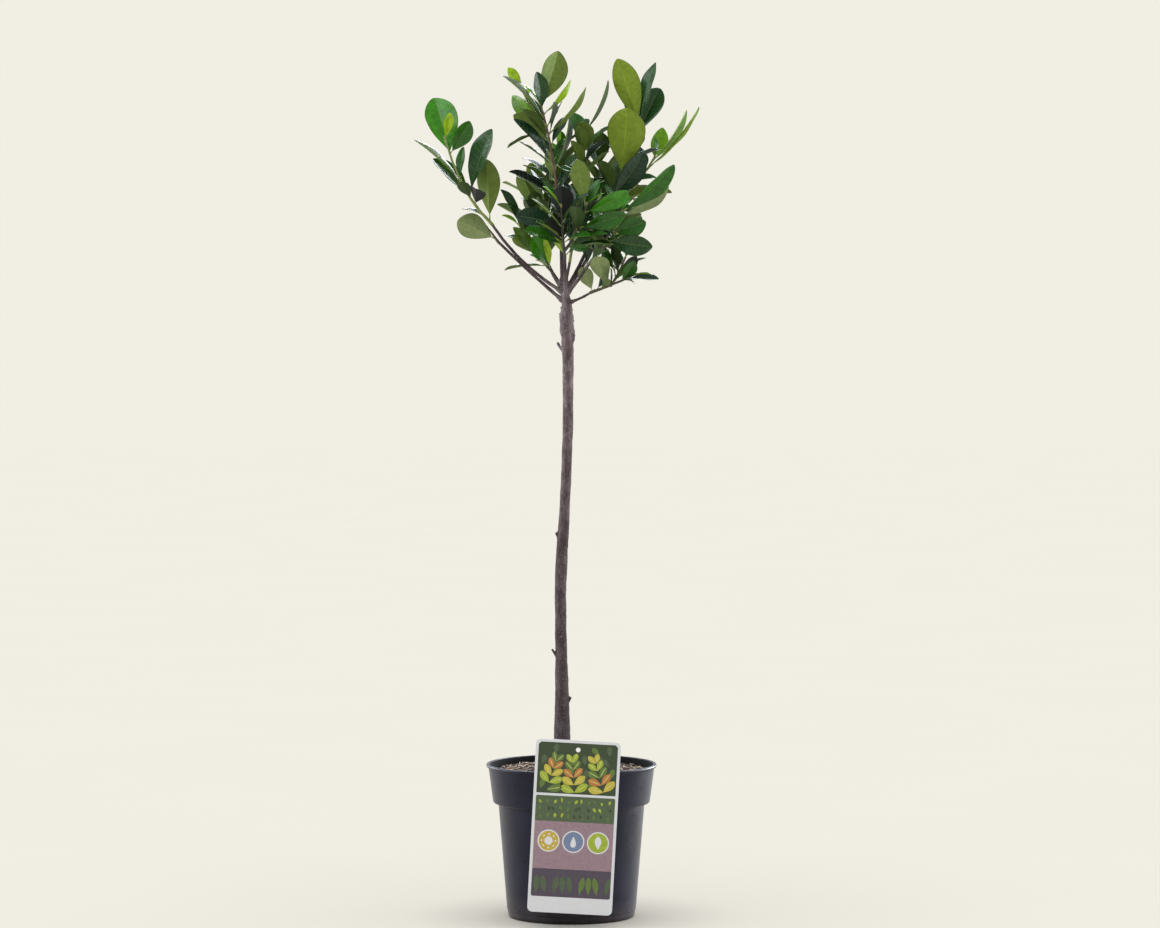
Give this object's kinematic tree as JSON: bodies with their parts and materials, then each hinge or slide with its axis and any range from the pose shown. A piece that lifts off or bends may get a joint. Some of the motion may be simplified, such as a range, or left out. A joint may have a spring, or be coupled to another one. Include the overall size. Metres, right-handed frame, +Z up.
{
  "type": "potted standard cherry laurel",
  "caption": "Small standard evergreen shrub in a round nursery pot: a bare stem with an open round head of leathery leaves, and a plant label on the rim.",
  "frame": {"origin": "centre of the pot's flat underside", "axes": "+Z up along the stem, +X to the right and -Y to the viewer, where the label hangs"},
  "size_m": [0.3497, 0.273, 1.066],
  "materials": {
    "pot_plastic": "satin black",
    "potting_soil": "loose, rough",
    "bark": "rough bark",
    "leaf": "glossy, leathery",
    "label_card": "printed card",
    "label_clip": "smooth"
  },
  "bodies": {
    "root": {"pot": "pot_plastic", "soil": "potting_soil", "trunk": "bark", "bough_left": "bark", "bough_left_low": "bark", "bough_left_inner": "bark", "bough_leader": "bark", "bough_centre": "bark", "bough_right": "bark", "bough_right_mid": "bark", "bough_right_low": "bark", "bough_front": "bark", "bough_back_left": "bark", "bough_back_right": "bark", "foliage_left": "leaf", "foliage_left_low": "leaf", "foliage_left_inner": "leaf", "foliage_leader": "leaf", "foliage_centre": "leaf", "foliage_right": "leaf", "foliage_right_mid": "leaf", "foliage_right_low": "leaf", "foliage_front": "leaf", "foliage_back_left": "leaf", "foliage_back_right": "leaf", "label_card": "label_card", "label_hook": "label_clip"}
  },
  "joints": []
}
